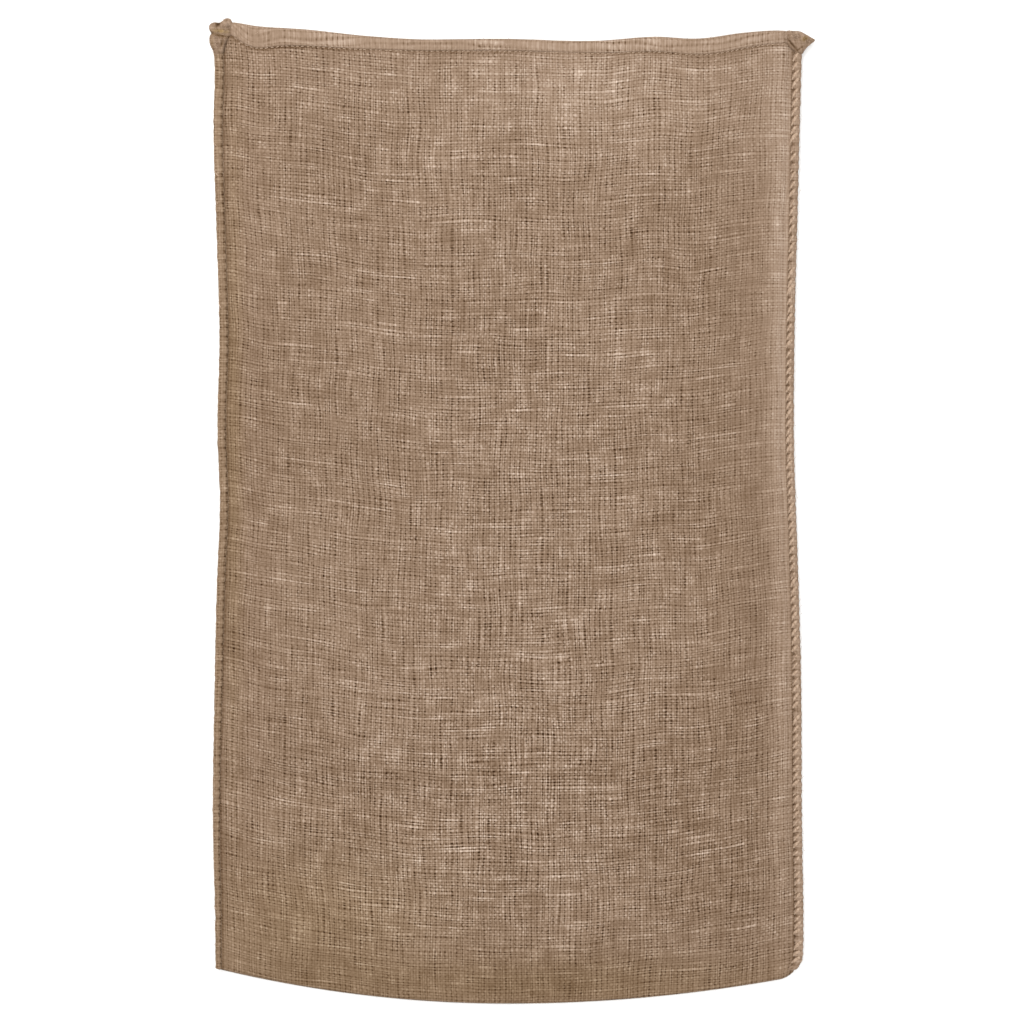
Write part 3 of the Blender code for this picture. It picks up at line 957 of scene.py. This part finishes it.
paths = []
random.seed(11)
for start in np.arange(-HALF_WIDTH + ROW_START, HALF_WIDTH - ROW_END, STITCH_PITCH):
    share = np.linspace(0.0, 1.0, len(STITCH_TAPER))
    start = start + random.uniform(-STITCH_UNEVEN, STITCH_UNEVEN)
    across = (start + share * STITCH_LENGTH) / HALF_WIDTH
    below = curve(HEM_DEPTH, across) + STITCH_BELOW
    out, up = plan(across, 1 - below / LENGTH)
    up = up + (share - 0.5) * random.uniform(*STITCH_SLANTS)
    top = front_height(out, up, HALF_WIDTH * (1 - np.abs(across)), np.full_like(out, LENGTH))
    height = top - STITCH_SINKS + np.sin(pi * share) * STITCH_ARCH
    paths.append(np.column_stack([out - MIDDLE_OUT, up - MIDDLE_UP, height]))
taper = STITCH_RADIUS * np.array(STITCH_TAPER)
stitches = strands("hem_stitches", paths, [taper] * len(paths), 1)
stitches.data.materials.append(jute_yarn)
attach(stitches, "root")

# ---------------------------------------------------------------------------------------------
# The mouth's corners. Where the hem's end meets the rolled seam, the layers are folded over into
# a thick ear and tied down. The left ear stands up in lumps, and the right one is pointed.
EARS = (  # (name, middle height, half thickness, tone, rim as (OUT, UP) in mm)
    (
        "left_ear", 0.0047, 0.0043, 0.09,
        (
            (-279.7, 993.6), (-281.7, 1001.2), (-286.8, 1002.3), (-290.3, 999.7), (-293.4, 997.9),
            (-299.0, 998.2), (-303.3, 995.6), (-303.6, 990.6), (-301.7, 987.0), (-303.5, 983.0),
            (-303.1, 976.3), (-300.0, 969.7), (-297.0, 965.0), (-289.8, 967.2), (-286.8, 977.3),
            (-280.7, 984.5),
        ),
    ),
    (
        "right_ear", 0.0047, 0.0042, 0.10,
        (
            (282.7, 989.0), (289.9, 989.5), (297.0, 989.0), (302.0, 986.5), (307.1, 983.4),
            (312.2, 980.1), (308.1, 976.3), (304.6, 973.3), (301.5, 969.7), (299.0, 966.2),
            (293.9, 967.2), (289.9, 969.7), (284.8, 974.3), (282.7, 980.4),
        ),
    ),
)
# The tone column is painted light and shade: darker in the dents, which have a negative height, and
# paler on most lumps.
EAR_FOLDS = (  # (OUT, UP, degrees, half length, half width, height, tone, ochre), lengths in mm
    (-294.5, 995.8, 60, 2.6, 1.9, -5.0, -0.34, 0.2),
    (-291.5, 988.6, -4, 8.0, 2.0, 1.2, 0.05, 1.0),
    (-292.0, 984.3, -10, 8.5, 1.3, -2.2, -0.16, 0.4),
    (-283.2, 982.5, 0, 1.6, 1.6, -2.0, -0.34, 0.0),
    (-301.8, 986.8, 0, 3.0, 1.2, -2.0, -0.15, 0.3),
    (-290.6, 976.0, 80, 6.0, 1.2, -1.5, -0.12, 0.2),
    (-285.5, 997.0, 70, 4.0, 2.6, 0.9, 0.10, 0.0),
    (-299.5, 993.0, 60, 3.6, 2.2, 0.9, 0.03, 0.0),
    (-300.8, 976.5, 80, 7.0, 2.4, 0.8, -0.05, 0.3),
    (288.4, 975.8, -50, 8.0, 0.9, -2.2, -0.30, 0.2),
    (296.2, 970.8, 37, 3.2, 0.8, -1.6, -0.24, 0.2),
    (291.0, 986.0, 100, 4.0, 0.9, -1.0, -0.10, 0.0),
    (301.8, 981.2, 30, 3.0, 2.0, -0.5, -0.12, 1.6),
    (297.0, 984.5, -20, 6.0, 2.0, 0.8, 0.05, 0.0),
)
EAR_LUMP = 0.0045
EAR_WEAVE = 0.30
EAR_UNEVEN = 0.20
EAR_MOTTLE_AND_LUMP_LIGHT = 0.12
EAR_RIM_SHADE = -0.06


def lay_ear(rim, middle_height, half_thickness, base_tone):
    """An ear, laid round its rim and along from the middle of its back to its front's."""

    def lay(around, along):
        points = np.array(rim, float) / 1000
        middle = points.mean(axis=0)
        closed = np.vstack([points[-2:], points, points[:3]])
        steps = np.arange(len(closed)) - 2
        out = curve(np.column_stack([steps, closed[:, 0]]), around * len(points))
        up = curve(np.column_stack([steps, closed[:, 1]]), around * len(points))
        reach = np.sin(pi * along) ** 0.7
        out = middle[0] + (out - middle[0]) * reach
        up = middle[1] + (up - middle[1]) * reach
        lumpy = crumple(out, up, EAR_LUMP, 1.0)
        scaled = [(x / 1e3, y / 1e3, turn, a / 1e3, b / 1e3) for x, y, turn, a, b, *_ in EAR_FOLDS]
        folds, fold_shading, ochres = (
            bumps([(*place, row[5 + kind]) for place, row in zip(scaled, EAR_FOLDS)], out, up)
            for kind in range(3)
        )
        top = half_thickness * (1 + EAR_UNEVEN * lumpy) + folds / 1e3 * reach
        height = middle_height - np.cos(pi * along) * np.where(along > 0.5, top, half_thickness)
        # Painted light and shade: the ear is painted paler on its lumps, darker in its dents, and
        # darker towards its rim, where it turns down.
        tone = base_tone + EAR_MOTTLE_AND_LUMP_LIGHT * lumpy + fold_shading + EAR_RIM_SHADE * reach**12
        places = np.column_stack([out - MIDDLE_OUT, up - MIDDLE_UP, height])
        on_cloth = np.column_stack([out + 0.3 * up, up])
        return places, on_cloth, {"tone": tone, "weave": EAR_WEAVE, "ochre": np.maximum(ochres, 0.0)}

    return lay


for name, middle_height, half_thickness, base_tone, rim in EARS:
    ear = laid_sheet(name, 160, 60, lay_ear(rim, middle_height, half_thickness, base_tone))
    ear.data.materials.append(hessian)
    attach(ear, "root")

# ---------------------------------------------------------------------------------------------
# Loose fibres. Short jute hairs stand out of the seams, the mouth and the corners, and lie here
# and there on the face of the cloth.
FIBRE_RADIUS = 0.00009
FIBRE_LENGTHS = (0.003, 0.009)
FIBRE_STEPS = 5
FIBRE_BEND = 1.6  # radians, at most, from one end to the other
FIBRE_SLOPE = 0.15
FIBRE_LOWEST = 0.0004
FIBRE_PLACES = (  # (how many, from OUT, UP to OUT, UP, height, spread)
    (110, (-0.2975, 0.04), (-0.2960, 0.97), 0.0045, 0.0015),
    (110, (0.2975, 0.05), (0.2960, 0.96), 0.0045, 0.0015),
    (70, (-0.28, 0.988), (0.28, 0.984), 0.0150, 0.0030),
    (40, (-0.302, 0.970), (-0.284, 0.999), 0.0100, 0.0020),
    (40, (0.284, 0.984), (0.308, 0.979), 0.0100, 0.0020),
    (60, (-0.27, 0.030), (0.27, 0.026), 0.0025, 0.0020),
)

random.seed(29)
paths = []
for how_many, start, end, height, spread in FIBRE_PLACES:
    for _ in range(how_many):
        share = random.random()
        place = Vector((*start, height)).lerp(Vector((*end, height)), share)
        aside = (random.gauss(0, spread), random.gauss(0, spread), random.gauss(0, spread / 3))
        place += Vector(aside)
        heading = random.uniform(0, 2 * pi)
        bend = random.uniform(-FIBRE_BEND, FIBRE_BEND)
        length = random.uniform(*FIBRE_LENGTHS)
        points = []
        for step in range(FIBRE_STEPS + 1):
            points.append((place.x - MIDDLE_OUT, place.y - MIDDLE_UP, max(place.z, FIBRE_LOWEST)))
            heading += bend / FIBRE_STEPS
            slope = random.uniform(-FIBRE_SLOPE, FIBRE_SLOPE)
            onward = Vector((cos(heading), sin(heading), slope))
            place += onward * length / FIBRE_STEPS
        paths.append(np.array(points))
fibres = strands("loose_fibres", paths, [FIBRE_RADIUS] * len(paths), 0)
fibres.data.materials.append(jute_yarn)
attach(fibres, "root")
